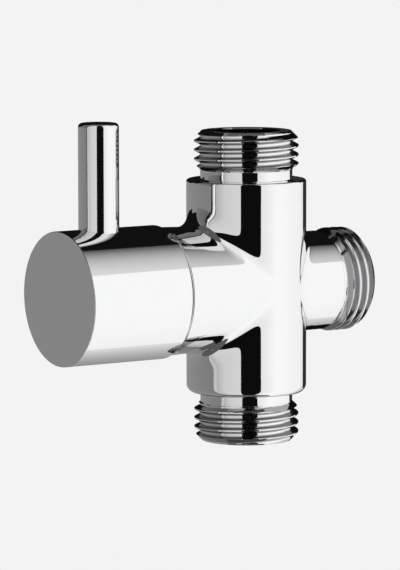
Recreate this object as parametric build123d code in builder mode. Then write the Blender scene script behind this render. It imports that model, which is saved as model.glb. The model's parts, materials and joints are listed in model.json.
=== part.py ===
from build123d import *
import math
import os

# Three way shower diverter valve, in millimetres.
# The axes of the three ports cross at the origin. +Z is the upper outlet, -Z the lower outlet,
# +Y the inlet at the back and -Y the knob at the front. The lever points up at rest.

# Male pipe thread G1/2 on all three ports, as ridges of its profile and pitch
thread_od = 20.955
thread_pitch = 1.814
thread_depth = 1.162
thread_flank_angle = 27.5
end_chamfer = 1.5
crest_trim = 0.1

# Cartridge bore, which the walls of the body follow
bore_r = 10.2
bore_floor_y = -8.5

# Valve body
barrel_wall = 1.8
shoulder_z = 21.4
top_edge_round = 0.5
bottom_edge_round = 1.6
outlet_length = 9.7
outlet_neck = 1.9
boss_wall = 2.6
boss_root_step = 0.1
boss_face_y = -21.0
boss_edge_round = 0.3
crossing_round = 3.5
inlet_barrel_r = 10.0
inlet_barrel_y = 17.2
inlet_length = 8.1
inlet_neck = 0.9
inlet_round = 1.0
waterway_r = 6.75
waterway_web = 1.75
inlet_floor_y = -1.0
body_neck_wall = 1.1
body_neck_length = 6.0
seam_angle = 20.0

# The three ports in the floor of the cartridge bore
centre_port_r = 2.2
outlet_port_r = 1.8
outlet_port_rim = 1.1
outlet_drill_angle = 42.0
outlet_drill_length = 6.5
outlet_drill_start = 2.7

# Clearances
fit_gap = 0.05
small_gap = 0.02
turning_gap = 0.2

# Cartridge, stacked from the floor of the bore towards the knob
sleeve_wall = 1.55
seal_thickness = 0.9
base_thickness = 2.0
disc_thickness = 2.0
driver_thickness = 1.6
foot_thickness = 1.2
washer_thickness = 0.5
sleeve_end_wall = 1.3
sleeve_neck_wall = 1.95
sleeve_neck_length = 4.95
peg_r = 0.9
peg_rim = 1.4
peg_depth = 1.2
key_r = 0.8
lug_r = 1.0
lug_depth = 1.2
channel_depth = 1.0
tang_length = 8.0
tang_width = 4.0
tang_depth = 1.0

# Spindle
journal_r = 4.6
foot_margin = 1.3
groove_depth = 0.9
groove_width = 1.2
inner_groove_inset = 1.9
outer_groove_inset = 3.4
flat_depth = 0.8
flats_length = 1.55
clip_groove = 0.7
clip_rim = 1.9
clip_thickness = 0.6
clip_gap_width = 3.2
spline_step = 0.1
spline_depth = 0.4
spline_count = 20
spline_start_gap = 0.9
spindle_end_chamfer = 0.4

# Half-turn stop between the sleeve and the stop ring
handle_travel = 180.0
stop_gap_angle = 1.0
stop_lug_angle = 38.0
stop_hub_wall = 0.8
crown_length = 1.5

# Rings
sleeve_ring_groove_depth = 0.95
sleeve_ring_groove_width = 1.3
sleeve_ring_inset = 6.5
glide_ring_thickness = 0.3
glide_ring_inset = 0.3

# Gland nut
nut_corner_gap = 0.64
nut_head = 3.2
nut_seat_gap = 0.1
nut_edge = 0.5

# Knob and lever
knob_step = 0.45
knob_front_y = -44.0
knob_rear_edge = 0.25
knob_front_edge = 0.15
skirt_wall = 1.35
skirt_clearance = 0.5
insert_wall = 1.7
insert_length = 8.2
insert_end_gap = 0.3
lever_r = 4.0
lever_top_z = 34.0
lever_top_round = 0.8
lever_seat_depth = 1.65
lever_y_from_front = 9.2
lever_seat_gap = 0.03
lever_thread_r = 2.5
lever_thread_length = 4.0
lever_hole_spare = 0.5
screw_r = 2.0
screw_recess = 0.8
screw_socket_across = 2.0
screw_socket_depth = 2.2

# Values worked out from the sizes above
barrel_r = bore_r + barrel_wall
boss_r = bore_r + boss_wall
boss_root_r = barrel_r - boss_root_step
body_neck_r = bore_r + body_neck_wall
knob_r = boss_r + knob_step
lever_y = knob_front_y + lever_y_from_front

thread_r = thread_od / 2
thread_root_r = thread_r - thread_depth
outlet_end_z = shoulder_z + outlet_length
inlet_end_y = inlet_barrel_y + inlet_length
outlet_floor_z = waterway_r + waterway_web
body_neck_end_y = boss_face_y - body_neck_length

sleeve_r = bore_r - fit_gap
chamber_r = sleeve_r - sleeve_wall
disc_r = chamber_r - 2 * fit_gap
moving_disc_r = disc_r - turning_gap
outlet_port_z = disc_r - outlet_port_r - outlet_port_rim
peg_x = disc_r - peg_r - peg_rim
foot_r = moving_disc_r - foot_margin
seal_y = bore_floor_y
base_y = seal_y - seal_thickness
fixed_disc_y = base_y - base_thickness
moving_disc_y = fixed_disc_y - disc_thickness
driver_y = moving_disc_y - disc_thickness
foot_y = driver_y - driver_thickness
washer_y = foot_y - foot_thickness
sleeve_end_inner_y = washer_y - washer_thickness - fit_gap
sleeve_shoulder_y = sleeve_end_inner_y - sleeve_end_wall
sleeve_neck_y = sleeve_shoulder_y - sleeve_neck_length
crown_y = sleeve_neck_y - crown_length

neck_bore_r = journal_r + fit_gap
sleeve_neck_r = neck_bore_r + sleeve_neck_wall
groove_r = journal_r - groove_depth
flats_across = 2 * (journal_r - flat_depth)
clip_r = groove_r + clip_rim
spline_r = journal_r - spline_step
spline_root_r = spline_r - spline_depth
stop_hub_r = journal_r + stop_hub_wall
insert_r = spline_r + insert_wall
flats_y = sleeve_neck_y - fit_gap
clip_groove_y = flats_y - flats_length
spline_y = clip_groove_y - clip_groove

nut_r = bore_r - fit_gap
nut_head_y = body_neck_end_y - nut_seat_gap
nut_end_y = nut_head_y - nut_head
nut_bore_r = sleeve_neck_r + turning_gap

glide_ring_y = boss_face_y - glide_ring_thickness
knob_rear_y = glide_ring_y - fit_gap
skirt_r = knob_r - skirt_wall
nut_across_flats = math.sqrt(3) * (skirt_r - nut_corner_gap)
skirt_end_y = nut_end_y - skirt_clearance
insert_y = skirt_end_y
insert_end_y = insert_y - insert_length
pocket_end_y = insert_end_y - insert_end_gap
spindle_end_y = insert_end_y
screw_y = (insert_y + insert_end_y) / 2
lever_seat_z = knob_r - lever_seat_depth
lever_end_z = lever_seat_z - lever_thread_length

os.makedirs("parts", exist_ok=True)


def facing_front(y, turn=0.0):
    """Plane across the knob axis at y, with its normal towards the knob and local Y up before the turn."""
    across, beyond = math.cos(math.radians(turn)), math.sin(math.radians(turn))
    return Plane(origin=(0, y, 0), x_dir=(across, 0, beyond), z_dir=(0, -1, 0))


def facing_up(y, z):
    """Horizontal plane at the height z, centred on the knob axis at y."""
    return Plane(origin=(0, y, z), x_dir=(1, 0, 0), z_dir=(0, 0, 1))


def turned_plane(axis):
    """Plane that holds an axis and is turned about it, so that no seam lies in a plane through two ports."""
    across, beyond = math.cos(math.radians(seam_angle)), math.sin(math.radians(seam_angle))
    if axis == Axis.Z:
        return Plane(origin=(0, 0, 0), x_dir=(across, beyond, 0), z_dir=(beyond, -across, 0))
    return Plane(origin=(0, 0, 0), x_dir=(across, 0, beyond), z_dir=(-beyond, 0, across))


def finish(piece, name):
    piece.part.label = name
    export_step(piece.part, f"parts/{name}.step")


def threaded_end(neck, length):
    """A pipe end that stands on the plane z = 0: a relief neck, then thread ridges up to z = length."""
    neck_r = thread_root_r - crest_trim
    flank = thread_depth * math.tan(math.radians(thread_flank_angle))
    flat = (thread_pitch - 2 * flank) / 2
    ridges = math.ceil((length - neck) / thread_pitch)
    with BuildPart() as end:
        with BuildSketch(turned_plane(Axis.Z)):
            with BuildLine():
                outline = [(0, 0), (neck_r, 0), (neck_r, neck), (thread_root_r, neck)]
                for ridge in range(ridges):
                    crest = neck + flank + ridge * thread_pitch
                    root = crest + flat + flank
                    outline += [(thread_r, crest), (thread_r, crest + flat)]
                    outline += [(thread_root_r, root), (thread_root_r, root + flat)]
                outline.append((0, outline[-1][1]))
                Polyline(*outline, close=True)
            make_face()
            with BuildLine():
                Polyline(
                    (0, 0),
                    (thread_r + end_chamfer, 0),
                    (thread_r + end_chamfer, length - 2 * end_chamfer),
                    (thread_r - end_chamfer, length),
                    (0, length),
                    close=True,
                )
            make_face(mode=Mode.INTERSECT)
        revolve(axis=Axis.Z)
    return end.part


# Valve body: one brass casting, turned and plated
outlet_end = threaded_end(outlet_neck, outlet_length)
inlet_end = threaded_end(inlet_neck, inlet_length)

with BuildPart() as valve_body:
    with BuildSketch(Plane.XY.offset(-shoulder_z).rotated((0, 0, seam_angle))):
        Circle(barrel_r)
    extrude(amount=2 * shoulder_z)
    fillet(valve_body.edges().group_by(Axis.Z)[-1], top_edge_round)
    fillet(valve_body.edges().group_by(Axis.Z)[0], bottom_edge_round)
    with BuildSketch(turned_plane(Axis.Y)):
        with BuildLine():
            Polyline((0, 0), (boss_root_r, 0), (boss_r, boss_face_y), (0, boss_face_y), close=True)
        make_face()
    revolve(axis=Axis.Y)
    fillet(valve_body.edges().filter_by(GeomType.BSPLINE), crossing_round)
    fillet(valve_body.edges().group_by(Axis.Y)[0], boss_edge_round)
    with BuildSketch(facing_front(0, seam_angle)):
        Circle(inlet_barrel_r)
    extrude(amount=-inlet_barrel_y)
    inlet_seam = valve_body.edges(Select.LAST).filter_by(lambda edge: 0 < edge.center().Y < barrel_r)
    fillet(inlet_seam, inlet_round)

    add(outlet_end.moved(Location((0, 0, shoulder_z))))
    add(outlet_end.moved(Location((0, 0, -shoulder_z), (180, 0, 0))))
    add(inlet_end.moved(Location((0, inlet_barrel_y, 0), (-90, 0, 0))))

    with BuildSketch(facing_front(boss_face_y, seam_angle)):
        Circle(body_neck_r)
    extrude(amount=body_neck_length)

    # Waterways
    with BuildSketch(Plane.XY.offset(outlet_floor_z).rotated((0, 0, seam_angle))):
        Circle(waterway_r)
    extrude(amount=outlet_end_z - outlet_floor_z, mode=Mode.SUBTRACT)
    with BuildSketch(Plane.XY.offset(-outlet_floor_z).rotated((0, 0, seam_angle))):
        Circle(waterway_r)
    extrude(amount=-(outlet_end_z - outlet_floor_z), mode=Mode.SUBTRACT)
    with BuildSketch(facing_front(inlet_end_y, seam_angle)):
        Circle(waterway_r)
    extrude(amount=inlet_end_y - inlet_floor_y, mode=Mode.SUBTRACT)

    # Cartridge bore, the three ports in its floor and the two peg holes
    with BuildSketch(facing_front(bore_floor_y, seam_angle)):
        Circle(bore_r)
    extrude(amount=bore_floor_y - body_neck_end_y, mode=Mode.SUBTRACT)
    with BuildSketch(facing_front(inlet_floor_y, seam_angle)):
        Circle(centre_port_r)
    extrude(amount=inlet_floor_y - bore_floor_y, mode=Mode.SUBTRACT)
    for side in (1, -1):
        rise = math.radians(outlet_drill_angle)
        drill = Plane(
            origin=(0, bore_floor_y, side * outlet_port_z),
            x_dir=(1, 0, 0),
            z_dir=(0, math.cos(rise), side * math.sin(rise)),
        )
        with BuildSketch(drill.offset(-outlet_drill_start)):
            Circle(outlet_port_r)
        extrude(amount=outlet_drill_length + outlet_drill_start, mode=Mode.SUBTRACT)
    with BuildSketch(facing_front(bore_floor_y + peg_depth + turning_gap)):
        with Locations((peg_x, 0), (-peg_x, 0)):
            Circle(peg_r + fit_gap)
    extrude(amount=peg_depth + turning_gap, mode=Mode.SUBTRACT)
finish(valve_body, "valve_body")


def three_ports(r):
    """Centre port and the two outlet ports, drawn in the current sketch."""
    Circle(centre_port_r, mode=Mode.SUBTRACT)
    with Locations((0, outlet_port_z), (0, -outlet_port_z)):
        Circle(r, mode=Mode.SUBTRACT)


# Seat seal
with BuildPart() as seat_seal:
    with BuildSketch(facing_front(seal_y)):
        Circle(disc_r)
        three_ports(outlet_port_r)
        with Locations((peg_x, 0), (-peg_x, 0)):
            Circle(peg_r + fit_gap, mode=Mode.SUBTRACT)
    extrude(amount=seal_thickness)
finish(seat_seal, "seat_seal")

# Cartridge base with its two pegs
with BuildPart() as cartridge_base:
    with BuildSketch(facing_front(base_y)):
        Circle(disc_r)
        three_ports(outlet_port_r)
        with Locations((chamber_r, 0), (-chamber_r, 0)):
            Circle(key_r + fit_gap, mode=Mode.SUBTRACT)
    extrude(amount=base_thickness)
    with BuildSketch(facing_front(base_y)):
        with Locations((peg_x, 0), (-peg_x, 0)):
            Circle(peg_r)
    extrude(amount=-(seal_thickness + peg_depth))
finish(cartridge_base, "cartridge_base")

# Fixed ceramic disc
with BuildPart() as fixed_ceramic_disc:
    with BuildSketch(facing_front(fixed_disc_y)):
        Circle(disc_r)
        three_ports(outlet_port_r)
        with Locations((chamber_r, 0), (-chamber_r, 0)):
            Circle(key_r + fit_gap, mode=Mode.SUBTRACT)
    extrude(amount=disc_thickness)
finish(fixed_ceramic_disc, "fixed_ceramic_disc")

# Moving ceramic disc: its channel joins the centre port to the upper outlet at rest
with BuildPart() as moving_ceramic_disc:
    with BuildSketch(facing_front(moving_disc_y)):
        Circle(moving_disc_r)
        with Locations((moving_disc_r, 0), (-moving_disc_r, 0)):
            Circle(lug_r + small_gap, mode=Mode.SUBTRACT)
    extrude(amount=disc_thickness)
    with BuildSketch(facing_front(moving_disc_y)):
        with Locations((0, outlet_port_z / 2)):
            SlotCenterToCenter(outlet_port_z, 2 * centre_port_r, rotation=90)
    extrude(amount=channel_depth, mode=Mode.SUBTRACT)
finish(moving_ceramic_disc, "moving_ceramic_disc")

# Disc driver with two lugs in the disc's notches and a slot for the spindle's tang
with BuildPart() as disc_driver:
    with BuildSketch(facing_front(driver_y)):
        Circle(moving_disc_r)
        Rectangle(tang_length + 2 * small_gap, tang_width + 2 * small_gap, mode=Mode.SUBTRACT)
    extrude(amount=driver_thickness)
    with BuildSketch(facing_front(driver_y)):
        with Locations((moving_disc_r, 0), (-moving_disc_r, 0)):
            Circle(lug_r)
        Circle(moving_disc_r, mode=Mode.INTERSECT)
    extrude(amount=-lug_depth)
finish(disc_driver, "disc_driver")


def spline_outline(tip_r, root_r):
    """Closed outline of the splines, drawn in the current sketch."""
    pitch_angle = 360 / spline_count
    points = []
    for tooth in range(spline_count):
        start = tooth * pitch_angle
        for share, r in ((0.0, root_r), (0.25, root_r), (0.4, tip_r), (0.85, tip_r)):
            angle = math.radians(start + share * pitch_angle)
            points.append((r * math.cos(angle), r * math.sin(angle)))
    Polygon(*points, align=None)


# Spindle: tang, foot, journal with two seal grooves, flats, clip groove and splines
inner_groove_y = sleeve_shoulder_y - inner_groove_inset + groove_width / 2
outer_groove_y = inner_groove_y - outer_groove_inset + groove_width
with BuildPart() as spindle:
    with BuildSketch(facing_front(foot_y)):
        Circle(foot_r)
    extrude(amount=foot_thickness)
    with BuildSketch(facing_front(foot_y)):
        Rectangle(tang_length, tang_width)
    extrude(amount=-tang_depth)
    with BuildSketch(facing_front(washer_y)):
        Circle(journal_r)
    extrude(amount=washer_y - clip_groove_y)
    with BuildSketch(facing_front(flats_y)):
        Circle(journal_r + 1)
        Rectangle(flats_across, 4 * journal_r, mode=Mode.SUBTRACT)
    extrude(amount=flats_length, mode=Mode.SUBTRACT)
    for groove_y in (inner_groove_y, outer_groove_y):
        with BuildSketch(facing_front(groove_y)):
            Circle(journal_r + 1)
            Circle(groove_r, mode=Mode.SUBTRACT)
        extrude(amount=groove_width, mode=Mode.SUBTRACT)
    with BuildSketch(facing_front(clip_groove_y)):
        Circle(groove_r)
    extrude(amount=clip_groove + spline_start_gap)
    with BuildSketch(facing_front(spline_y)):
        spline_outline(spline_r, spline_root_r)
    extrude(amount=spline_y - spindle_end_y)
    with BuildSketch():
        with BuildLine():
            Polyline(
                (spline_r - spindle_end_chamfer, spindle_end_y),
                (spline_r, spindle_end_y + spindle_end_chamfer),
                (spline_r + 1, spindle_end_y + spindle_end_chamfer),
                (spline_r + 1, spindle_end_y),
                close=True,
            )
        make_face()
    revolve(axis=Axis.Y, mode=Mode.SUBTRACT)
finish(spindle, "spindle")


def o_ring(y, inner_r, outer_r):
    """A ring of round section about the knob axis, centred at y."""
    with BuildPart() as ring:
        with BuildSketch():
            with Locations(((inner_r + outer_r) / 2, y)):
                Circle((outer_r - inner_r) / 2 - small_gap)
        revolve(axis=Axis.Y)
    return ring


spindle_grooves = {"spindle_inner_o_ring": inner_groove_y, "spindle_outer_o_ring": outer_groove_y}
for ring_name, groove_y in spindle_grooves.items():
    finish(o_ring(groove_y - groove_width / 2, groove_r, journal_r + small_gap), ring_name)

sleeve_ring_y = bore_floor_y - sleeve_ring_inset
finish(o_ring(sleeve_ring_y, sleeve_r - sleeve_ring_groove_depth, bore_r), "cartridge_o_ring")

# Cartridge sleeve: chamber for the discs, neck for the spindle and the crown of the half-turn stop
with BuildPart() as cartridge_sleeve:
    with BuildSketch(facing_front(bore_floor_y - fit_gap)):
        Circle(sleeve_r)
    extrude(amount=bore_floor_y - fit_gap - sleeve_shoulder_y)
    with BuildSketch(facing_front(bore_floor_y - fit_gap)):
        Circle(chamber_r)
    extrude(amount=bore_floor_y - fit_gap - sleeve_end_inner_y, mode=Mode.SUBTRACT)
    with BuildSketch(facing_front(sleeve_shoulder_y)):
        Circle(sleeve_neck_r)
    extrude(amount=sleeve_neck_length)
    with BuildSketch(facing_front(sleeve_end_inner_y)):
        Circle(neck_bore_r)
    extrude(amount=sleeve_end_inner_y - sleeve_neck_y, mode=Mode.SUBTRACT)
    with BuildSketch(facing_front(sleeve_ring_y + sleeve_ring_groove_width / 2)):
        Circle(sleeve_r + 1)
        Circle(sleeve_r - sleeve_ring_groove_depth, mode=Mode.SUBTRACT)
    extrude(amount=sleeve_ring_groove_width, mode=Mode.SUBTRACT)
    # Keys that stop the base and the fixed disc from turning
    with BuildSketch(facing_front(base_y)):
        with Locations((chamber_r, 0), (-chamber_r, 0)):
            Circle(key_r)
        Circle(chamber_r + fit_gap, mode=Mode.INTERSECT)
    extrude(amount=base_y - moving_disc_y - fit_gap)
    # Crown on the side away from the lever's travel
    crown_angle = 360 - handle_travel - stop_lug_angle - 2 * stop_gap_angle
    with BuildSketch(facing_front(sleeve_neck_y)):
        with BuildLine():
            outer_arc = CenterArc((0, 0), sleeve_neck_r, 180 - crown_angle / 2, crown_angle)
            inner_arc = CenterArc((0, 0), stop_hub_r + turning_gap, 180 - crown_angle / 2, crown_angle)
            Line(outer_arc @ 0, inner_arc @ 0)
            Line(outer_arc @ 1, inner_arc @ 1)
        make_face()
    extrude(amount=crown_length)
finish(cartridge_sleeve, "cartridge_sleeve")

# Thrust washer
with BuildPart() as thrust_washer:
    with BuildSketch(facing_front(washer_y)):
        Circle(foot_r)
        Circle(journal_r + fit_gap, mode=Mode.SUBTRACT)
    extrude(amount=washer_thickness)
finish(thrust_washer, "thrust_washer")

# Stop ring: keyed on the spindle's flats, with the lug that meets the crown
with BuildPart() as stop_ring:
    with BuildSketch(facing_front(flats_y)):
        with BuildLine():
            lug_arc = CenterArc((0, 0), sleeve_neck_r - turning_gap, 90 - stop_lug_angle / 2, stop_lug_angle)
            Line(lug_arc @ 0, (0, 0))
            Line(lug_arc @ 1, (0, 0))
        make_face()
        Circle(stop_hub_r)
    extrude(amount=flats_length - small_gap)
    with BuildSketch(facing_front(flats_y)):
        Circle(journal_r + small_gap)
        Rectangle(flats_across + 2 * small_gap, 4 * journal_r, mode=Mode.INTERSECT)
    extrude(amount=flats_length, mode=Mode.SUBTRACT)
finish(stop_ring, "stop_ring")

# Spindle clip: open ring in the clip groove
with BuildPart() as spindle_clip:
    with BuildSketch(facing_front(clip_groove_y - (clip_groove - clip_thickness) / 2)):
        Circle(clip_r)
        Circle(groove_r + small_gap, mode=Mode.SUBTRACT)
        with Locations((0, -clip_r)):
            Rectangle(clip_gap_width, 2 * (clip_r - groove_r) + 1, mode=Mode.SUBTRACT)
    extrude(amount=clip_thickness)
finish(spindle_clip, "spindle_clip")

# Gland nut: clamps the sleeve's shoulder
with BuildPart() as gland_nut:
    with BuildSketch(facing_front(sleeve_shoulder_y)):
        Circle(nut_r)
    extrude(amount=sleeve_shoulder_y - nut_head_y)
    with BuildSketch(facing_front(nut_head_y)):
        RegularPolygon(nut_across_flats / 2, 6, major_radius=False)
    extrude(amount=nut_head)
    with BuildSketch():
        with BuildLine():
            corner_r = nut_across_flats / math.sqrt(3)
            Polyline(
                (corner_r - 2 * nut_edge, nut_end_y),
                (corner_r + nut_edge, nut_end_y + 1.5 * nut_edge),
                (corner_r + nut_edge, nut_end_y),
                close=True,
            )
        make_face()
    revolve(axis=Axis.Y, mode=Mode.SUBTRACT)
    with BuildSketch(facing_front(sleeve_shoulder_y)):
        Circle(nut_bore_r)
    extrude(amount=sleeve_shoulder_y - nut_end_y, mode=Mode.SUBTRACT)
finish(gland_nut, "gland_nut")

# Glide ring in the seam between body and knob
with BuildPart() as glide_ring:
    with BuildSketch(facing_front(boss_face_y)):
        Circle(boss_r - glide_ring_inset)
        Circle(body_neck_r + fit_gap, mode=Mode.SUBTRACT)
    extrude(amount=glide_ring_thickness)
finish(glide_ring, "glide_ring")

# Knob shell
with BuildPart() as knob_shell:
    with BuildSketch(facing_front(knob_rear_y)):
        Circle(knob_r)
    extrude(amount=knob_rear_y - knob_front_y)
    chamfer(knob_shell.edges().group_by(Axis.Y)[-1], knob_rear_edge)
    fillet(knob_shell.edges().group_by(Axis.Y)[0], knob_front_edge)
    with BuildSketch(facing_front(knob_rear_y)):
        Circle(skirt_r)
    extrude(amount=knob_rear_y - skirt_end_y, mode=Mode.SUBTRACT)
    with BuildSketch(facing_front(skirt_end_y)):
        Circle(insert_r)
    extrude(amount=skirt_end_y - pocket_end_y, mode=Mode.SUBTRACT)
    with BuildSketch(facing_up(lever_y, lever_seat_z)):
        Circle(lever_r + lever_seat_gap)
    extrude(amount=2 * lever_seat_depth, mode=Mode.SUBTRACT)
    with BuildSketch(facing_up(lever_y, lever_end_z - lever_hole_spare)):
        Circle(lever_thread_r + small_gap)
    extrude(amount=lever_thread_length + lever_hole_spare, mode=Mode.SUBTRACT)
    with BuildSketch(facing_up(screw_y, -knob_r)):
        Circle(screw_r + small_gap)
    extrude(amount=knob_r - insert_r + 1, mode=Mode.SUBTRACT)
finish(knob_shell, "knob_shell")

# Spline insert, pressed into the knob
with BuildPart() as spline_insert:
    with BuildSketch(facing_front(insert_y)):
        Circle(insert_r)
    extrude(amount=insert_length)
    with BuildSketch(facing_front(insert_y)):
        spline_outline(spline_r + fit_gap, spline_root_r + fit_gap)
    extrude(amount=insert_length, mode=Mode.SUBTRACT)
    with BuildSketch(facing_up(screw_y, -insert_r - 1)):
        Circle(screw_r + small_gap)
    extrude(amount=insert_r + 1 - spline_root_r / 2, mode=Mode.SUBTRACT)
finish(spline_insert, "spline_insert")

# Lever rod with its threaded end
with BuildPart() as lever_rod:
    with BuildSketch(facing_up(lever_y, lever_seat_z)):
        Circle(lever_r)
    extrude(amount=lever_top_z - lever_seat_z)
    fillet(lever_rod.edges().group_by(Axis.Z)[-1], lever_top_round)
    with BuildSketch(facing_up(lever_y, lever_end_z)):
        Circle(lever_thread_r)
    extrude(amount=lever_thread_length)
finish(lever_rod, "lever_rod")

# Set screw under the knob, bearing on the spindle's splines
screw_tip_z = -(spline_r + fit_gap)
screw_head_z = -(knob_r - screw_recess)
with BuildPart() as knob_set_screw:
    with BuildSketch(facing_up(screw_y, screw_head_z)):
        Circle(screw_r)
    extrude(amount=screw_tip_z - screw_head_z)
    with BuildSketch(facing_up(screw_y, screw_head_z)):
        RegularPolygon(screw_socket_across / 2, 6, major_radius=False)
    extrude(amount=screw_socket_depth, mode=Mode.SUBTRACT)
finish(knob_set_screw, "knob_set_screw")
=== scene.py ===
import json
import math

import bmesh
import bpy
import numpy as np
from mathutils import Matrix, Vector


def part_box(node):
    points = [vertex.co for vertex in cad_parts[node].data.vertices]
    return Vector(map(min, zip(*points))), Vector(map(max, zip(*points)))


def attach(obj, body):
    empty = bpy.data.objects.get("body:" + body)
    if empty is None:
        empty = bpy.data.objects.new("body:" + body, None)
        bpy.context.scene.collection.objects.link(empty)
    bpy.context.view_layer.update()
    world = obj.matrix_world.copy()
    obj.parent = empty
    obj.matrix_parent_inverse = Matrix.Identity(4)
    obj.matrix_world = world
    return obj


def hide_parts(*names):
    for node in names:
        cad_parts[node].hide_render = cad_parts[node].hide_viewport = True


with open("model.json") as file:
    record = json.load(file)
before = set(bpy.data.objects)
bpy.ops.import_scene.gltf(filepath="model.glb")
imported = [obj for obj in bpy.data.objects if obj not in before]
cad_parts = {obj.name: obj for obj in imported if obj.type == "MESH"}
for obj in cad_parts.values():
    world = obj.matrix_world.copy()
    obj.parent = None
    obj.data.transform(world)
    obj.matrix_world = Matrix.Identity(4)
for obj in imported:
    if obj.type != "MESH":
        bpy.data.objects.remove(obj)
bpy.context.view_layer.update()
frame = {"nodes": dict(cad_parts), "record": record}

MM = 0.001

# Sizes of the valve in millimetres, as the frame gives them where it can
body_low, body_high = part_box("valve_body")

OUTLET_END_Z = body_high[2] / MM
INLET_END_Y = body_high[1] / MM
NECK_END_Y = body_low[1] / MM
BOSS_R = 12.8
BOSS_ROOT_R = 11.9
BOSS_FACE_Y = -21.0
BARREL_R = 12.0
SHOULDER_Z = OUTLET_END_Z - 9.7
INLET_R = 10.0
INLET_SHOULDER_Y = INLET_END_Y - 8.1
CROSSING_ROUND = 3.5
INLET_ROUND = 1.0
TOP_ROUND, BOTTOM_ROUND, BACK_ROUND = 0.5, 1.6, 0.15
BORE_R = 6.75
BORE_FLOOR_Z = 8.5
INLET_FLOOR_Y = -1.0
NECK_R = 11.3
CARTRIDGE_R = 10.2
CARTRIDGE_FLOOR_Y = -8.5

CENTRE_PORT_R = 2.2
OUTLET_PORT_R = 1.8
OUTLET_PORT_Z = 5.6
OUTLET_DRILL_ANGLE = 42.0
OUTLET_DRILL_LENGTH = 6.5
OUTLET_DRILL_START = 2.7
PEG_HOLE_R, PEG_HOLE_X, PEG_HOLE_DEPTH = 0.95, 6.2, 1.4

THREAD_R = 10.4775
THREAD_ROOT_R = 9.3155
THREAD_PITCH = 1.814
RELIEF_R = 9.2155
ROWS_PER_TURN = 18
LEAD_SLOPE = 1.1
FLANK_FROM_ROOT, FLANK_FROM_CREST = 0.12, 0.14
END_CHAMFER = 1.5
OUTLET_RELIEF = 1.9
INLET_RELIEF = 0.9

SEGMENTS = 192

# ---------------------------------------------------------------- nodes


class Number:
    """A socket that Python's arithmetic can be written with."""

    def __init__(self, sockets, socket):
        self.sockets, self.socket = sockets, socket

    def __add__(self, other): return self.sockets.maths("ADD", self, other)
    def __radd__(self, other): return self.sockets.maths("ADD", other, self)
    def __sub__(self, other): return self.sockets.maths("SUBTRACT", self, other)
    def __rsub__(self, other): return self.sockets.maths("SUBTRACT", other, self)
    def __mul__(self, other): return self.sockets.maths("MULTIPLY", self, other)
    def __rmul__(self, other): return self.sockets.maths("MULTIPLY", other, self)
    def __truediv__(self, other): return self.sockets.maths("DIVIDE", self, other)


class Sockets:
    """Adds nodes to a tree; what goes into a socket is a value, a link or a Number."""

    def __init__(self, tree):
        self.tree = tree

    def wrap(self, socket):
        return Number(self, socket)

    def node(self, kind, inputs, **settings):
        made = self.tree.nodes.new(kind)
        for key, value in settings.items():
            setattr(made, key, value)
        for key, value in inputs.items():
            if isinstance(value, Number):
                value = value.socket
            if isinstance(value, bpy.types.NodeSocket):
                self.tree.links.new(value, made.inputs[key])
            else:
                made.inputs[key].default_value = value
        return made

    def maths(self, operation, *values):
        made = self.node("ShaderNodeMath", dict(enumerate(values)), operation=operation)
        return Number(self, made.outputs[0])

    def clamp(self, value, low, high):
        return self.maths("MINIMUM", self.maths("MAXIMUM", value, low), high)


def show(name, mesh):
    piece = bpy.data.objects.new(name, mesh)
    bpy.context.collection.objects.link(piece)
    return piece


# ---------------------------------------------------------------- camera

CAMERA_AZIMUTH = 56.417
CAMERA_ELEVATION = 6.486
CAMERA_ROLL = -0.083
CAMERA_DISTANCE = 0.8
CAMERA_LENS = 252.27
CAMERA_SENSOR = 36.0
AIM_RIGHT, AIM_UP = -0.009265, 0.000018


def add_camera():
    azimuth, elevation = math.radians(CAMERA_AZIMUTH), math.radians(CAMERA_ELEVATION)
    back = Vector((
        math.sin(azimuth) * math.cos(elevation),
        -math.cos(azimuth) * math.cos(elevation),
        math.sin(elevation),
    ))
    level = Vector((math.cos(azimuth), math.sin(azimuth), 0))
    rise = back.cross(level)
    roll = math.radians(CAMERA_ROLL)
    right = math.cos(roll) * level + math.sin(roll) * rise
    up = math.cos(roll) * rise - math.sin(roll) * level
    data = bpy.data.cameras.new("camera")
    data.lens = CAMERA_LENS
    data.sensor_width = CAMERA_SENSOR
    camera = bpy.data.objects.new("camera", data)
    bpy.context.collection.objects.link(camera)
    camera.matrix_world = Matrix((right, up, back)).transposed().to_4x4()
    camera.location = AIM_RIGHT * right + AIM_UP * up + CAMERA_DISTANCE * back
    bpy.context.scene.camera = camera


add_camera()

# ---------------------------------------------------------------- studio

PALE = 0.896
RING_RADIUS = 1.6
FLOOR_Z = -0.26


def glowing(name, value, last_value):
    """Emission that fades from one brightness to another along a card's own map."""
    material = bpy.data.materials.new(name)
    material.use_nodes = True
    material.node_tree.nodes.clear()
    put = Sockets(material.node_tree)
    glow = put.node("ShaderNodeEmission", {"Color": (value, value, value, 1)})
    if value != last_value:
        along = put.node("ShaderNodeSeparateXYZ", {0: put.node("ShaderNodeUVMap", {}).outputs[0]})
        brightness = value + (last_value - value) * put.wrap(along.outputs[0])
        put.tree.links.new(brightness.socket, glow.inputs["Color"])
    put.node("ShaderNodeOutputMaterial", {"Surface": glow.outputs[0]})
    return material


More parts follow.
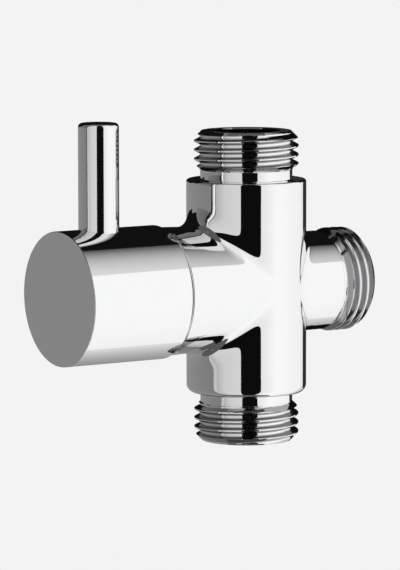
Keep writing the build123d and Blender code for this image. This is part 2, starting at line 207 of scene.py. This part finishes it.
def card(name, first, last, low, high, value, last_value=None, centre=(0, 0, 0), radius=RING_RADIUS):
    """A curved card seen only in reflections, from one angle right of the camera to another.

    Its brightness runs from value to last_value, and it bends around centre, in metres.
    """
    last_value = value if last_value is None else last_value
    steps = max(2, math.ceil(abs(last - first) / 3))
    points, faces, shares = [], [], []
    for step in range(steps + 1):
        share = step / steps
        angle = math.radians(CAMERA_AZIMUTH + first + (last - first) * share)
        for height in (low, high):
            lift = math.radians(height)
            points.append((
                centre[0] + radius * math.sin(angle) * math.cos(lift),
                centre[1] - radius * math.cos(angle) * math.cos(lift),
                centre[2] + radius * math.sin(lift),
            ))
            shares.append(share)
        if step:
            foot = 2 * step
            faces.append((foot - 2, foot, foot + 1, foot - 1))
    mesh = bpy.data.meshes.new(name)
    mesh.from_pydata(points, [], faces)
    along = mesh.uv_layers.new(name="UVMap")
    for loop in mesh.loops:
        along.data[loop.index].uv = (shares[loop.vertex_index], 0)
    mesh.materials.append(glowing(name, value, last_value))
    screen = show(name, mesh)
    for ray in ("visible_camera", "visible_diffuse", "visible_shadow", "visible_transmission"):
        setattr(screen, ray, False)


def soft_box(name, azimuth, elevation, distance, size, power):
    """An area light that shades the matt pieces and leaves the plated ones to the cards."""
    light = bpy.data.lights.new(name, "AREA")
    light.size = size
    light.energy = power
    box = bpy.data.objects.new(name, light)
    turn, lift = math.radians(azimuth), math.radians(elevation)
    towards = Vector((math.sin(turn) * math.cos(lift), -math.cos(turn) * math.cos(lift), math.sin(lift)))
    box.location = towards * distance
    box.rotation_euler = towards.to_track_quat("Z", "Y").to_euler()
    box.visible_glossy = False
    bpy.context.collection.objects.link(box)


def add_floor():
    """Plain pale floor, as bright as the backdrop, that the plated pieces don't mirror."""
    mesh = bpy.data.meshes.new("studio_floor")
    reach = 6.0
    mesh.from_pydata(
        [(x * reach, y * reach, FLOOR_Z) for x, y in ((-1, -1), (1, -1), (1, 1), (-1, 1))],
        [], [(0, 1, 2, 3)],
    )
    floor = show("studio_floor", mesh)
    mesh.materials.append(glowing("pale_floor", PALE, PALE))
    floor.visible_glossy = False


def add_studio():
    world = bpy.data.worlds.new("studio")
    bpy.context.scene.world = world
    world.use_nodes = True
    sky = world.node_tree.nodes["Background"]
    sky.inputs["Color"].default_value = (PALE, PALE, PALE, 1)
    card("left_wall", -180, -68, -66, -1, 0.30, 0.22)
    card("left_back_flag", -180, -130, -1, 9, 0.006)
    card("left_wall_rim", -130, -110, -1, 9, 0.25)
    card("left_wall_high", -110, -68, -1, 66, 0.20, 0.12)
    card("left_line", -68, -63, -6.4, 66, 0.004)
    card("left_glint", -63, -59, -6.4, 66, 0.95)
    card("left_wall_foot", -68, -66, -66, -6.4, 0.22)
    card("left_sheet_foot", -66, -59, -66, -6.4, 0.55, 0.62)
    card("left_sheet", -59, -42, -66, 66, 0.48, 0.66)
    card("left_sheet_inner", -42, -11, -66, 66, 0.66, 0.72)
    card("black_flag", -11, 27.5, -66, 66, 0.004)
    card("right_sheet", 27.5, 60, -66, 36, 0.86, 1.04)
    card("right_sheet_far", 60, 128, -66, 36, 1.04, 0.96)
    card("right_sheet_end", 128, 139, -16, 9, 0.90)
    card("right_edge", 139, 180, -16, 9, 0.03)
    card("under_grey", 128, 180, -66, -16, 0.80, 0.30)
    card("right_sheet_top", 27.5, 60, 36, 66, 0.86)
    card("high_fade", 60, 128, 36, 66, 0.92, 0.07)
    card("back_flag", 128, 250, 9, 66, 0.006)
    card("ceiling", -180, 180, 66, 89, 0.10)
    card("ground", -180, 180, -89, -66, 0.10)
    inlet_centre = (0, 0.018, -0.008)
    card("inlet_shade", 158, 190, -46, -3, 0.004, centre=inlet_centre, radius=0.07)
    soft_box("key", CAMERA_AZIMUTH + 40, 50, 0.9, 0.7, 3.0)
    soft_box("fill", CAMERA_AZIMUTH - 60, 25, 1.1, 0.9, 1.5)
    add_floor()


add_studio()
bpy.context.scene.view_settings.view_transform = "Standard"

# ---------------------------------------------------------------- mesh work


def turned(profile, segments=SEGMENTS):
    """Points and faces of an outline of (radius, height) turned about Z; a radius of 0 closes on the axis."""
    points, faces, rings = [], [], []
    for radius, height in profile:
        if radius == 0:
            rings.append([len(points)] * segments)
            points.append((0.0, 0.0, height))
            continue
        rings.append(range(len(points), len(points) + segments))
        for step in range(segments):
            angle = 2 * math.pi * step / segments
            points.append((radius * math.cos(angle), radius * math.sin(angle), height))
    for lower, upper in zip(rings, rings[1:]):
        for step in range(segments):
            after = (step + 1) % segments
            corners = dict.fromkeys((lower[step], lower[after], upper[after], upper[step]))
            faces.append(tuple(corners))
    return np.array(points), faces


def arc(centre, radius, first, last, steps=8):
    """Points of a circular arc in the (radius, height) plane, angles in degrees."""
    angles = np.radians(np.linspace(first, last, steps + 1))
    return [(centre[0] + radius * math.cos(a), centre[1] + radius * math.sin(a)) for a in angles]


# Ways to stand a piece that is turned about Z
UPRIGHT = np.eye(3)
UPSIDE_DOWN = np.diag((1.0, -1.0, -1.0))
TO_THE_BACK = np.array(((1.0, 0, 0), (0, 0, 1.0), (0, -1.0, 0)))
TO_THE_FRONT = np.array(((1.0, 0, 0), (0, 0, -1.0), (0, 1.0, 0)))


def mesh_of(name, parts, merge=0.0005):
    """One mesh in metres of several (points, faces) in millimetres, with the doubles merged."""
    points, faces, offset = [], [], 0
    for part_points, part_faces in parts:
        points.append(part_points)
        faces += [tuple(int(corner) + offset for corner in face) for face in part_faces]
        offset += len(part_points)
    mesh = bpy.data.meshes.new(name)
    mesh.from_pydata(np.concatenate(points).tolist(), [], faces)
    work = bmesh.new()
    work.from_mesh(mesh)
    bmesh.ops.remove_doubles(work, verts=work.verts, dist=merge)
    bmesh.ops.dissolve_degenerate(work, edges=work.edges, dist=merge)
    bmesh.ops.recalc_face_normals(work, faces=work.faces)
    work.to_mesh(mesh)
    work.free()
    return mesh


# ---------------------------------------------------------------- thread


def thread_tree():
    """Nodes that roll a flat grid, one unit square, into a threaded tube about Z."""
    tree = bpy.data.node_groups.new("pipe_thread", "GeometryNodeTree")
    face = tree.interface
    face.new_socket("Geometry", in_out="OUTPUT", socket_type="NodeSocketGeometry")
    for label in ("Pitch", "Length", "Crest Radius", "Root Radius", "Start Radius", "End Radius"):
        face.new_socket(label, in_out="INPUT", socket_type="NodeSocketFloat")
    for label in ("Segments", "Rows", "Turns"):
        face.new_socket(label, in_out="INPUT", socket_type="NodeSocketInt")
    face.new_socket("Material", in_out="INPUT", socket_type="NodeSocketMaterial")
    given = tree.nodes.new("NodeGroupInput").outputs
    put = Sockets(tree)

    across, up = put.wrap(given["Segments"]) + 1, put.wrap(given["Rows"]) + 1
    square = {"Size X": 1.0, "Size Y": 1.0, "Vertices X": across, "Vertices Y": up}
    grid = put.node("GeometryNodeMeshGrid", square)
    place = put.node("ShaderNodeSeparateXYZ", {0: put.node("GeometryNodeInputPosition", {}).outputs[0]})
    around = put.wrap(place.outputs[0]) + 0.5
    along = put.wrap(place.outputs[1]) + 0.5
    pitch, length = put.wrap(given["Pitch"]), put.wrap(given["Length"])
    turns = along * put.wrap(given["Turns"])
    height = put.clamp((turns + around - 1) * pitch, 0.0, length)
    phase = put.maths("FRACT", turns)
    rise = 1 - put.maths("ABSOLUTE", phase * 2 - 1)
    form = put.clamp(rise * 1.5 - 0.25, 0.0, 1.0)
    crest, root = put.wrap(given["Crest Radius"]), put.wrap(given["Root Radius"])
    ridge = root + (crest - root) * form
    lead = put.wrap(given["Start Radius"]) + height * LEAD_SLOPE
    chamfer = put.wrap(given["End Radius"]) + length - height
    radius = put.maths("MINIMUM", put.maths("MINIMUM", ridge, lead), chamfer)
    angle = around * (2 * math.pi)
    rolled = put.node(
        "ShaderNodeCombineXYZ",
        {0: radius * put.maths("COSINE", angle), 1: radius * put.maths("SINE", angle), 2: height},
    )
    flat = grid.outputs["Mesh"]
    moved = put.node("GeometryNodeSetPosition", {"Geometry": flat, "Position": rolled.outputs[0]})
    joined = put.node("GeometryNodeMergeByDistance", {"Geometry": moved.outputs[0], "Distance": 0.0005})
    real = put.node("GeometryNodeRealizeInstances", {"Geometry": joined.outputs[0]})
    tube = {"Geometry": real.outputs[0], "Material": given["Material"]}
    dressed = put.node("GeometryNodeSetMaterial", tube)
    output = tree.nodes.new("NodeGroupOutput")
    tree.links.new(dressed.outputs[0], output.inputs[0])
    return tree


def threaded_tube(length, material):
    """Points and faces of a threaded tube of this length that stands on z = 0."""
    turns = math.ceil(length / THREAD_PITCH) + 2
    carrier = show("thread_carrier", bpy.data.meshes.new("thread_carrier"))
    tree = thread_tree()
    modifier = carrier.modifiers.new("thread", "NODES")
    modifier.node_group = tree
    values = {
        "Pitch": THREAD_PITCH,
        "Length": length,
        "Crest Radius": THREAD_R,
        "Root Radius": THREAD_ROOT_R,
        "Start Radius": RELIEF_R,
        "End Radius": THREAD_R - END_CHAMFER,
        "Segments": SEGMENTS,
        "Rows": ROWS_PER_TURN * turns,
        "Turns": turns,
        "Material": material,
    }
    for item in tree.interface.items_tree:
        if item.in_out == "INPUT":
            modifier[item.identifier] = values[item.name]
    made = bpy.data.meshes.new_from_object(carrier.evaluated_get(bpy.context.evaluated_depsgraph_get()))
    bpy.data.objects.remove(carrier)
    points = np.array([tuple(vertex.co) for vertex in made.vertices])
    faces = [tuple(polygon.vertices) for polygon in made.polygons]
    return points, faces


# ---------------------------------------------------------------- body

CORE_Z, CORE_FRONT_Y, CORE_BACK_Y = 17.0, -18.0, 15.0
CORE_GAP = 0.4
CELL = 0.33


def rolled_union(first, second, cosine, radius):
    """Union of two distances, with the fillet that a ball of this radius leaves between them.

    cosine is that of the angle between the two surfaces' normals.
    """
    near_first, near_second = radius - first, radius - second
    in_reach = (near_first > 0) & (near_second > 0)
    in_reach &= (near_first >= near_second * cosine) & (near_second >= near_first * cosine)
    squared = near_first ** 2 + near_second ** 2 - 2 * near_first * near_second * cosine
    ball = np.sqrt(np.maximum(squared, 0) / np.maximum(1 - cosine ** 2, 1e-9))
    return np.where(in_reach, radius - ball, np.minimum(first, second))


def body_field(place):
    """Distance-like field of the body's crossing: negative inside."""
    x, y, z = place[..., 0], place[..., 1], place[..., 2]
    from_z, from_y = np.hypot(x, y) + 1e-9, np.hypot(x, z) + 1e-9
    slope = (BOSS_R - BOSS_ROOT_R) / BOSS_FACE_Y
    lean = 1 / math.hypot(1, slope)
    barrel = from_z - BARREL_R
    boss = np.where(y < 1, (from_y - BOSS_ROOT_R - slope * y) * lean, np.inf)
    inlet = np.where(y > -1, from_y - INLET_R, np.inf)
    cosine = x * x / (from_z * from_y)
    boss_cosine = (cosine - slope * y / from_z) * lean
    boss = np.where(np.isinf(boss), 1e3, boss)
    inlet = np.where(np.isinf(inlet), 1e3, inlet)
    front = rolled_union(barrel, boss, boss_cosine, CROSSING_ROUND)
    back = rolled_union(barrel, inlet, cosine, INLET_ROUND)
    return np.where(y < 0, front, back)


def gradient(field, place, reach=1e-3):
    slopes = []
    for axis in range(3):
        step = np.zeros(3)
        step[axis] = reach
        slopes.append((field(place + step) - field(place - step)) / (2 * reach))
    return np.stack(slopes, -1)


def onto_surface(field, place, rounds=4):
    for _ in range(rounds):
        slope = gradient(field, place)
        steep = np.maximum((slope ** 2).sum(-1), 1e-6)
        place = place - (field(place) / steep)[..., None] * slope
    return place


def surface_net(field, low, high, cell):
    """Quads around a field's zero surface, with one point in each grid cell that it passes through."""
    axes = [np.arange(start, stop + cell, cell) for start, stop in zip(low, high)]
    solid = field(np.stack(np.meshgrid(*axes, indexing="ij"), -1)) < 0
    size = solid.shape
    inside = sum(
        solid[i:size[0] - 1 + i, j:size[1] - 1 + j, k:size[2] - 1 + k].astype(int)
        for i in (0, 1) for j in (0, 1) for k in (0, 1)
    )
    crossed = (inside > 0) & (inside < 8)
    index = np.full(crossed.shape, -1)
    index[crossed] = np.arange(crossed.sum())
    points = np.argwhere(crossed) * cell + np.array(low) + cell / 2
    faces = []
    for axis in range(3):
        second, third = (axis + 1) % 3, (axis + 2) % 3
        before = np.take(solid, range(size[axis] - 1), axis)
        after = np.take(solid, range(1, size[axis]), axis)
        for leaving in (True, False):
            hits = np.argwhere((before == leaving) & (after != leaving))
            for side in (second, third):
                hits = hits[(hits[:, side] > 0) & (hits[:, side] < size[side] - 1)]
            ring = []
            for shift_second, shift_third in ((0, 0), (-1, 0), (-1, -1), (0, -1)):
                at = hits.copy()
                at[:, second] += shift_second
                at[:, third] += shift_third
                ring.append(index[at[:, 0], at[:, 1], at[:, 2]])
            quads = np.stack(ring if leaving else ring[::-1], 1)
            faces.append(quads[(quads >= 0).all(1)])
    return points, np.concatenate(faces)


def relaxed(points, faces, field, rounds=6):
    """The points evened out along the surface."""
    edges = np.concatenate([faces[:, [side, (side + 1) % 4]] for side in range(4)])
    edges = np.concatenate([edges, edges[:, ::-1]])
    count = np.maximum(np.bincount(edges[:, 0], minlength=len(points)), 1)[:, None]
    for _ in range(rounds):
        total = np.stack([
            np.bincount(edges[:, 0], points[edges[:, 1], axis], minlength=len(points))
            for axis in range(3)
        ], 1)
        points = onto_surface(field, 0.4 * points + 0.6 * total / count, 1)
    return onto_surface(field, points)


def crossing():
    """The blended middle of the body, open where the ports and the boss's mouth are turned on."""
    margin = 1.5
    low = (-BOSS_R - margin, CORE_FRONT_Y - margin, -CORE_Z - margin)
    high = (BOSS_R + margin, CORE_BACK_Y + margin, CORE_Z + margin)
    points, faces = surface_net(body_field, low, high, CELL)
    points = relaxed(onto_surface(body_field, points), faces, body_field)
    mesh = bpy.data.meshes.new("crossing")
    mesh.from_pydata(points.tolist(), [], faces.tolist())
    work = bmesh.new()
    work.from_mesh(mesh)
    cuts = (
        ((0, 0, CORE_Z), (0, 0, 1)),
        ((0, 0, -CORE_Z), (0, 0, -1)),
        ((0, CORE_FRONT_Y, 0), (0, -1, 0)),
        ((0, CORE_BACK_Y, 0), (0, 1, 0)),
    )
    for place, normal in cuts:
        whole = work.verts[:] + work.edges[:] + work.faces[:]
        bmesh.ops.bisect_plane(work, geom=whole, plane_co=place, plane_no=normal, clear_outer=True)
    bmesh.ops.remove_doubles(work, verts=work.verts, dist=0.02)
    work.to_mesh(mesh)
    work.free()
    points = np.array([tuple(vertex.co) for vertex in mesh.vertices])
    return points, [tuple(polygon.vertices) for polygon in mesh.polygons]


def stood(part, way):
    points, faces = part
    return points @ way.T, faces


def raised(part, height):
    points, faces = part
    return points + (0, 0, height), faces


def port(way, start, barrel_r, shoulder, end, shoulder_round, relief, floor, material):
    """One port, turned about Z and then stood up: barrel, shoulder, relief, thread, mouth and bore."""
    outline = [(barrel_r, start), (barrel_r, shoulder - shoulder_round - 0.3)]
    outline += arc((barrel_r - shoulder_round, shoulder - shoulder_round), shoulder_round, 0, 90)
    foot = 0.15
    outline += arc((RELIEF_R + foot, shoulder + foot), foot, 270, 180, 4)
    outline.append((RELIEF_R, shoulder + relief))
    outer = turned(outline)
    thread = raised(threaded_tube(end - shoulder - relief, material), shoulder + relief)
    lip = 0.25
    mouth = [(THREAD_R - END_CHAMFER, end), (BORE_R + lip, end), (BORE_R, end - lip), (BORE_R, floor + 0.4)]
    mouth += [(BORE_R - 0.4, floor), (0, floor)]
    return [stood(piece, way) for piece in (outer, thread, turned(mouth))]


def cast_body(material):
    core = crossing()
    parts = [core]
    for way, shoulder_round in ((UPRIGHT, TOP_ROUND), (UPSIDE_DOWN, BOTTOM_ROUND)):
        parts += port(
            way, CORE_Z + CORE_GAP, BARREL_R, SHOULDER_Z, OUTLET_END_Z, shoulder_round,
            OUTLET_RELIEF, BORE_FLOOR_Z, material,
        )
    parts += port(
        TO_THE_BACK, CORE_BACK_Y + CORE_GAP, INLET_R, INLET_SHOULDER_Y, INLET_END_Y, BACK_ROUND,
        INLET_RELIEF, INLET_FLOOR_Y, material,
    )
    slope = (BOSS_R - BOSS_ROOT_R) / -BOSS_FACE_Y
    start = -CORE_FRONT_Y + CORE_GAP
    edge = 0.3
    face, neck_end = -BOSS_FACE_Y, -NECK_END_Y
    outline = [(BOSS_ROOT_R + slope * start, start), (BOSS_ROOT_R + slope * (face - edge), face - edge)]
    outline += arc((BOSS_ROOT_R + slope * face - edge, face - edge), edge, 0, 90)
    outline += [(NECK_R, face), (NECK_R, neck_end), (CARTRIDGE_R, neck_end)]
    outline += [(CARTRIDGE_R, -CARTRIDGE_FLOOR_Y), (0, -CARTRIDGE_FLOOR_Y)]
    parts.append(stood(turned(outline), TO_THE_FRONT))
    mesh = mesh_of("cast_body", parts)
    work = bmesh.new()
    work.from_mesh(mesh)
    rims = [edge for edge in work.edges if edge.is_boundary]
    for axis, place in ((2, CORE_Z), (2, -CORE_Z), (1, CORE_FRONT_Y), (1, CORE_BACK_Y)):
        pair = [
            rim for rim in rims
            if all(abs(abs(corner.co[axis]) - abs(place) - CORE_GAP / 2) < CORE_GAP
                   and corner.co[axis] * place > 0 for corner in rim.verts)
        ]
        bmesh.ops.bridge_loops(work, edges=pair)
    bmesh.ops.triangulate(work, faces=[f for f in work.faces if len(f.verts) > 4])
    bmesh.ops.recalc_face_normals(work, faces=work.faces)
    work.to_mesh(mesh)
    work.free()
    return mesh


def drilled(body_mesh):
    """The body with its three valve ports and two peg holes, as one Boolean cut."""
    parts = []

    def hole(start, towards, radius, length):
        points, faces = turned([(0, 0), (radius, 0), (radius, length), (0, length)], 64)
        along = Vector(towards).normalized()
        turn = np.array(along.to_track_quat("Z", "Y").to_matrix())
        parts.append((points @ turn.T + np.array(start), faces))

    spare = 0.6
    floor = CARTRIDGE_FLOOR_Y
    hole((0, floor - spare, 0), (0, 1, 0), CENTRE_PORT_R, INLET_FLOOR_Y - floor + 2 * spare)
    rise = math.radians(OUTLET_DRILL_ANGLE)
    for side in (1, -1):
        way = np.array((0, math.cos(rise), side * math.sin(rise)))
        start = np.array((0, floor, side * OUTLET_PORT_Z)) - OUTLET_DRILL_START * way
        hole(tuple(start), tuple(way), OUTLET_PORT_R, OUTLET_DRILL_START + OUTLET_DRILL_LENGTH)
        hole((side * PEG_HOLE_X, floor - spare, 0), (0, 1, 0), PEG_HOLE_R, PEG_HOLE_DEPTH + spare)
    cutter = show("port_drills", mesh_of("port_drills", parts))
    blank = show("body_blank", body_mesh)
    cut = blank.modifiers.new("ports", "BOOLEAN")
    cut.operation, cut.solver, cut.object = "DIFFERENCE", "EXACT", cutter
    made = bpy.data.meshes.new_from_object(blank.evaluated_get(bpy.context.evaluated_depsgraph_get()))
    for spent in (blank, cutter):
        bpy.data.objects.remove(spent)
    return made


def set_normals(mesh, field, in_field, sharp_angle=35, polish=12):
    """Sharp edges by angle, and the field's own normals where a corner lies on its surface.

    polish is how many times those normals are evened out, as a mop softens a fillet's edges.
    """
    mesh.shade_smooth()
    mesh.set_sharp_from_angle(angle=math.radians(sharp_angle))
    places = np.array([tuple(vertex.co) for vertex in mesh.vertices])
    true_normals = gradient(field, places)
    true_normals /= np.maximum(np.linalg.norm(true_normals, axis=1, keepdims=True), 1e-9)
    on_field = in_field(places)
    edges = np.array([tuple(edge.vertices) for edge in mesh.edges])
    edges = edges[on_field[edges].all(1)]
    for _ in range(polish):
        evened = true_normals.copy()
        np.add.at(evened, edges[:, 0], true_normals[edges[:, 1]])
        np.add.at(evened, edges[:, 1], true_normals[edges[:, 0]])
        true_normals = evened / np.maximum(np.linalg.norm(evened, axis=1, keepdims=True), 1e-9)
    corners = np.array([tuple(normal.vector) for normal in mesh.corner_normals])
    owners = np.array([loop.vertex_index for loop in mesh.loops])
    chosen = on_field[owners]
    corners[chosen] = true_normals[owners[chosen]]
    mesh.normals_split_custom_set(corners.tolist())


def in_crossing(places):
    y, z = places[:, 1], places[:, 2]
    outside = (abs(z) < CORE_Z + CORE_GAP + 0.01) & (y > CORE_FRONT_Y - CORE_GAP - 0.01)
    outside &= (y < CORE_BACK_Y + CORE_GAP + 0.01)
    return outside & (abs(body_field(places)) < 0.02)


# ---------------------------------------------------------------- materials


def new_material(name):
    """A material's node writer, its Principled shader and its Object coordinates."""
    material = bpy.data.materials.new(name)
    material.use_nodes = True
    put = Sockets(material.node_tree)
    place = put.node("ShaderNodeTexCoord", {}).outputs["Object"]
    return material, put, material.node_tree.nodes["Principled BSDF"], place


def grain(put, place, scale, detail=2.0, stretch=(1, 1, 1)):
    """Noise from 0 to 1; a stretch under 1 draws it out along that axis."""
    drawn = put.node("ShaderNodeMapping", {"Vector": place, "Scale": stretch})
    noise = put.node("ShaderNodeTexNoise", {"Vector": drawn.outputs[0], "Scale": scale, "Detail": detail})
    return put.wrap(noise.outputs[0])


def rough(put, shader, value):
    put.tree.links.new(put.clamp(value, 0.0, 1.0).socket, shader.inputs["Roughness"])


def relief(put, shader, *layers):
    """Bumps one on another, each a height from 0 to 1 and its depth in metres."""
    under = None
    for height, depth in layers:
        bump = put.node("ShaderNodeBump", {"Height": height, "Strength": 1.0, "Distance": depth})
        if under is not None:
            put.tree.links.new(under, bump.inputs["Normal"])
        under = bump.outputs[0]
    put.tree.links.new(under, shader.inputs["Normal"])


def mixed(put, share, first, second):
    """Colour between two others, each a colour or the output of another mix."""
    mix = put.node("ShaderNodeMix", {}, data_type="RGBA")
    put.tree.links.new(share.socket, mix.inputs["Factor"])
    for label, colour in (("A", first), ("B", second)):
        for socket in mix.inputs:
            if socket.name == label and socket.type == "RGBA":
                if isinstance(colour, bpy.types.NodeSocket):
                    put.tree.links.new(colour, socket)
                else:
                    socket.default_value = (*colour, 1)
    return [socket for socket in mix.outputs if socket.type == "RGBA"][0]


def two_tone(put, shader, share, first, second):
    put.tree.links.new(mixed(put, share, first, second), shader.inputs["Base Color"])


def painted_flank_shade(put, place):
    """1 on the flanks of the three threads and 0 elsewhere: there the plating gets painted shade, a darker
    colour, and a little more roughness.
    """
    split = put.node("ShaderNodeSeparateXYZ", {0: place})
    x, y, z = (put.wrap(split.outputs[axis]) for axis in range(3))

    def flank(radius, height, foot):
        above_root = put.maths("GREATER_THAN", radius, (THREAD_ROOT_R + FLANK_FROM_ROOT) * MM)
        below_crest = put.maths("LESS_THAN", radius, (THREAD_R - FLANK_FROM_CREST) * MM)
        return above_root * below_crest * put.maths("GREATER_THAN", height, foot * MM)

    from_z, from_y = put.maths("SQRT", x * x + y * y), put.maths("SQRT", x * x + z * z)
    outlets = flank(from_z, put.maths("ABSOLUTE", z), SHOULDER_Z + OUTLET_RELIEF)
    return outlets + flank(from_y, y, INLET_SHOULDER_Y + INLET_RELIEF)


def chrome_plate(name, softness, wave, threaded=False):
    """Mirror chrome: a faint haze from the polishing mop, and the plating's slight waviness; threaded plating
    also gets painted shade on its flanks.
    """
    material, put, shader, place = new_material(name)
    shader.inputs["Metallic"].default_value = 1
    haze = grain(put, place, 260, 3.0)
    mop = grain(put, place, 900, 2.0, (1, 0.12, 1))
    colour = mixed(put, haze, (0.88, 0.885, 0.89), (0.92, 0.92, 0.92))
    softness = softness + 0.02 * haze + 0.012 * mop
    if threaded:
        # Painted shade: the thread flanks get a darker base colour, plus a real rise in roughness.
        shaded_flanks = painted_flank_shade(put, place)
        colour = mixed(put, shaded_flanks, colour, (0.42, 0.42, 0.43))
        softness = softness + 0.08 * shaded_flanks
    put.tree.links.new(colour, shader.inputs["Base Color"])
    rough(put, shader, softness)
    relief(put, shader, (grain(put, place, 60, 1.0), wave), (mop, 2e-7))
    return material


def turned_metal(name, first, second, softness, depth):
    """Metal with the fine rings that a lathe leaves around the knob's axis."""
    material, put, shader, place = new_material(name)
    shader.inputs["Metallic"].default_value = 1
    rings = grain(put, place, 5200, 2.0, (0.02, 1, 0.02))
    stain = grain(put, place, 240, 3.0)
    two_tone(put, shader, stain * 0.6 + rings * 0.4, first, second)
    rough(put, shader, softness + 0.16 * rings + 0.06 * stain)
    relief(put, shader, (rings, depth))
    return material


def moulded(name, first, second, softness, gloss_change, speck, depth):
    """Plastic, rubber or ceramic with its own grain."""
    material, put, shader, place = new_material(name)
    fine = grain(put, place, speck, 3.0)
    cloud = grain(put, place, 180, 2.0)
    two_tone(put, shader, cloud * 0.5 + fine * 0.5, first, second)
    rough(put, shader, softness + gloss_change * fine)
    relief(put, shader, (fine, depth))
    return material


finishes = {
    "body_chrome": chrome_plate("body_chrome", 0.012, 3.0e-5, threaded=True),
    "knob_chrome": chrome_plate("knob_chrome", 0.035, 2.0e-5),
    "lever_chrome": chrome_plate("lever_chrome", 0.05, 2.0e-5),
    "bare_brass": turned_metal("turned_brass", (0.62, 0.42, 0.17), (0.83, 0.64, 0.32), 0.16, 3e-6),
    "stainless": turned_metal("stainless_steel", (0.50, 0.50, 0.51), (0.66, 0.66, 0.66), 0.20, 2e-6),
    "black_rubber": moulded(
        "nitrile_rubber", (0.018, 0.018, 0.019), (0.036, 0.036, 0.036), 0.42, 0.2, 1600, 4e-6,
    ),
    "white_acetal": moulded("white_acetal", (0.78, 0.78, 0.74), (0.86, 0.86, 0.83), 0.30, 0.16, 1400, 2e-6),
    "glide_plastic": moulded("black_nylon", (0.02, 0.02, 0.02), (0.04, 0.04, 0.042), 0.40, 0.2, 1500, 3e-6),
    "ceramic": moulded("lapped_ceramic", (0.88, 0.86, 0.81), (0.94, 0.93, 0.90), 0.07, 0.1, 3200, 5e-7),
}
slots = {part["node"]: part["material_slot"] for part in frame["record"]["subparts"]}
for name, node in frame["nodes"].items():
    node.data.materials.clear()
    node.data.materials.append(finishes[slots[name]])

# ---------------------------------------------------------------- body piece

plated = finishes["body_chrome"]
body_mesh = drilled(cast_body(plated))
set_normals(body_mesh, body_field, in_crossing)
body_mesh.transform(Matrix.Scale(MM, 4))
body = show("cast_body", body_mesh)
body_mesh.materials.clear()
body_mesh.materials.append(plated)
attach(body, "root")
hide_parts("valve_body")
